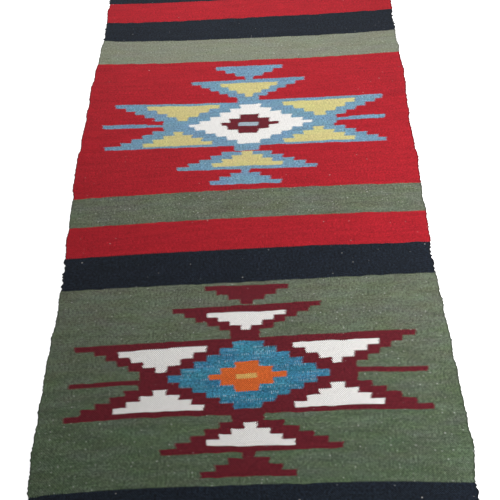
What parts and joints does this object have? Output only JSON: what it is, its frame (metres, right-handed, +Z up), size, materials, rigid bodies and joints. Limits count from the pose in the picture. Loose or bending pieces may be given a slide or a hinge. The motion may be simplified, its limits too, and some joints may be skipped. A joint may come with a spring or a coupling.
{
  "type": "kilim rug",
  "caption": "Flat-woven wool kilim rug, lying flat, with stepped medallions on wide cross bands, scalloped selvedges and a plain turned hem at each end.",
  "frame": {"origin": "under the middle of the rug's bounding box, on the floor that it lies on", "axes": "+X across the rug from its left selvedge to its right one, +Y along its length away from the viewer, +Z up out of its face"},
  "size_m": [1.2395, 2.2612, 0.006],
  "materials": {
    "wool": "matt hand-spun wool, weft-faced, red, near-black and grey-green bands"
  },
  "bodies": {
    "root": {"rug": "wool"}
  },
  "joints": []
}
